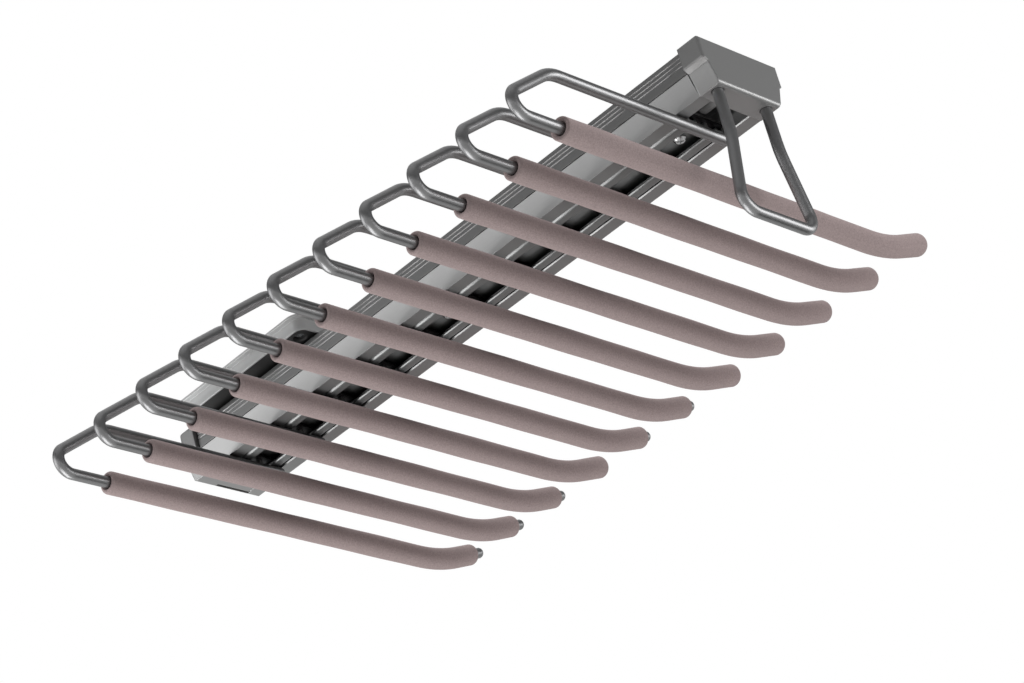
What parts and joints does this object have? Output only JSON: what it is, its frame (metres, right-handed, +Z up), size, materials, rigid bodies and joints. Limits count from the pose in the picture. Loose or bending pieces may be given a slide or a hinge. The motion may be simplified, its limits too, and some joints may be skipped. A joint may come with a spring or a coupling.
{
  "type": "pull out trouser rack",
  "caption": "Under-shelf pull-out trouser rack: roller rail with bent hanging arms in soft sleeves, end caps and a stirrup handle.",
  "frame": {"origin": "centre of the rectangle of screw holes, on the face that meets the shelf", "axes": "+Z up into the shelf, +Y into the wardrobe, so the handle is at -Y; the arms' open ends point to +X"},
  "size_m": [0.3657, 0.47, 0.1288],
  "materials": {
    "silver_trim": "satin silver lacquer",
    "black_block": "fine matt",
    "bright_steel": "zinc plated, bright",
    "die_cast": "as cast, fine grain",
    "roller_nylon": "smooth moulded nylon",
    "anodised_rail": "satin anodised",
    "channel_steel": "zinc plated, satin",
    "black_oxide": "black oxide",
    "cap_grey": "satin lacquer",
    "bumper_rubber": "matt",
    "dark_titanium": "satin dark plating",
    "taupe_sleeve": "soft matt, fine grain"
  },
  "bodies": {
    "base": {"base_trim": "silver_trim", "base_block": "black_block", "screw_bushes": "bright_steel", "carriage": "die_cast", "carriage_bolts": "bright_steel", "front_axle": "bright_steel", "rear_axle": "bright_steel", "axle_spacers": "bright_steel", "axle_clips": "bright_steel"},
    "sliding_rail": {"rail": "anodised_rail", "arm_channel": "channel_steel", "channel_screws": "bright_steel", "clamp_plates": "black_oxide", "clamp_nuts": "black_oxide", "front_cap": "cap_grey", "rear_cap": "cap_grey", "front_bumper": "bumper_rubber", "rear_bumper": "bumper_rubber", "handle": "dark_titanium", "handle_nuts": "bright_steel", "arm_01": "dark_titanium", "arm_02": "dark_titanium", "arm_03": "dark_titanium", "arm_04": "dark_titanium", "arm_05": "dark_titanium", "arm_06": "dark_titanium", "arm_07": "dark_titanium", "arm_08": "dark_titanium", "arm_09": "dark_titanium", "arm_10": "dark_titanium", "arm_11": "dark_titanium", "sleeve_01": "taupe_sleeve", "sleeve_02": "taupe_sleeve", "sleeve_03": "taupe_sleeve", "sleeve_04": "taupe_sleeve", "sleeve_05": "taupe_sleeve", "sleeve_06": "taupe_sleeve", "sleeve_07": "taupe_sleeve", "sleeve_08": "taupe_sleeve", "sleeve_09": "taupe_sleeve", "sleeve_10": "taupe_sleeve", "sleeve_11": "taupe_sleeve"},
    "front_left_roller": {"roller_front_left": "roller_nylon"},
    "front_right_roller": {"roller_front_right": "roller_nylon"},
    "rear_left_roller": {"roller_rear_left": "roller_nylon"},
    "rear_right_roller": {"roller_rear_right": "roller_nylon"}
  },
  "joints": [
    {"name": "rail_slide", "type": "slide", "parent": "base", "child": "sliding_rail", "axis": [0, 1, 0], "range_m": [0, 0.309]},
    {"name": "front_left_spin", "type": "hinge", "parent": "base", "child": "front_left_roller", "pos_m": [-0.0215, -0.04, -0.0244], "axis": [1, 0, 0], "range_deg": [-2000, 0]},
    {"name": "front_right_spin", "type": "hinge", "parent": "base", "child": "front_right_roller", "pos_m": [0.0215, -0.04, -0.0244], "axis": [1, 0, 0], "range_deg": [-2000, 0]},
    {"name": "rear_left_spin", "type": "hinge", "parent": "base", "child": "rear_left_roller", "pos_m": [-0.0215, 0.04, -0.0244], "axis": [1, 0, 0], "range_deg": [0, 2000]},
    {"name": "rear_right_spin", "type": "hinge", "parent": "base", "child": "rear_right_roller", "pos_m": [0.0215, 0.04, -0.0244], "axis": [1, 0, 0], "range_deg": [0, 2000]}
  ],
  "couplings": [
    {"joint": "front_left_spin", "follows": "rail_slide", "rad_per_m": -112.36},
    {"joint": "front_right_spin", "follows": "rail_slide", "rad_per_m": -112.36},
    {"joint": "rear_left_spin", "follows": "rail_slide", "rad_per_m": 112.36},
    {"joint": "rear_right_spin", "follows": "rail_slide", "rad_per_m": 112.36}
  ]
}
